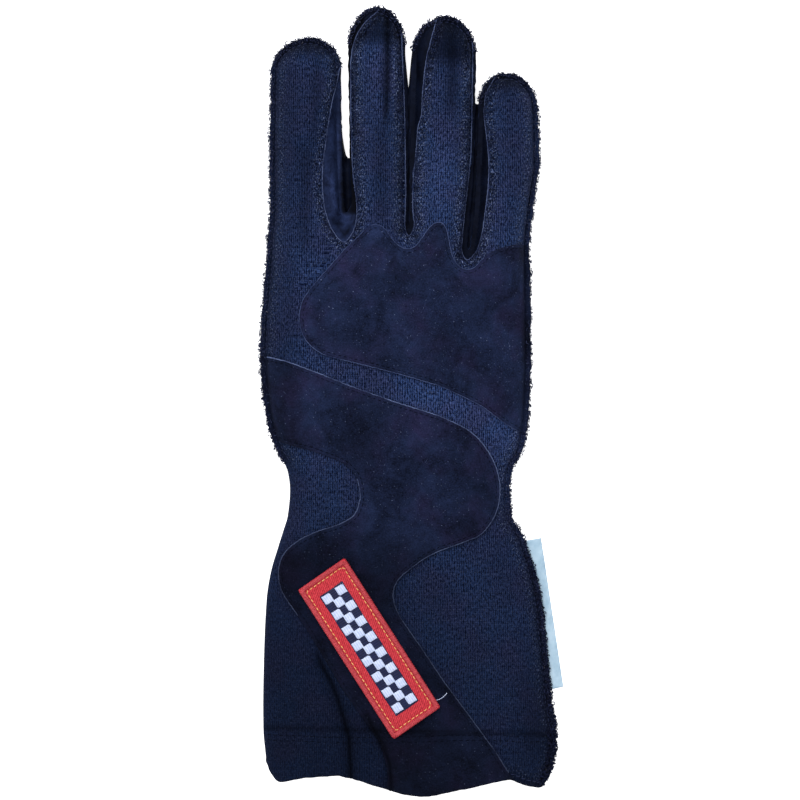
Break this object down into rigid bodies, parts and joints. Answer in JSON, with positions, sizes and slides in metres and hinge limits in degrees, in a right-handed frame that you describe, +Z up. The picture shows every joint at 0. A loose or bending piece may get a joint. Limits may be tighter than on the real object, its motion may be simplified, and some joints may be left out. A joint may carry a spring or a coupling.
{
  "type": "racing glove",
  "caption": "Right-hand auto racing glove lying palm down: knit back, leather palm and finger sides, suede overlays, long flared gauntlet, patch and side label; open inside.",
  "frame": {"origin": "centre of the footprint, on the surface that the glove lies on", "axes": "+Y to the fingertips, +X to the little finger, +Z up through the back of the hand"},
  "size_m": [0.127, 0.3314, 0.0289],
  "materials": {
    "knit": "navy rib knit, matt",
    "suede": "navy suede with short nap",
    "leather": "smooth dark leather, low sheen",
    "embroidery": "red satin-stitch embroidery",
    "satin": "white woven satin tape"
  },
  "bodies": {
    "root": {"back_knit": "knit", "palm_leather": "leather", "gauntlet_under": "knit", "fourchette_index_middle": "leather", "fourchette_middle_ring": "leather", "fourchette_ring_little": "leather", "thumb": "leather", "knuckle_suede": "suede", "wrist_suede": "suede", "patch": "embroidery", "side_label": "satin"}
  },
  "joints": []
}
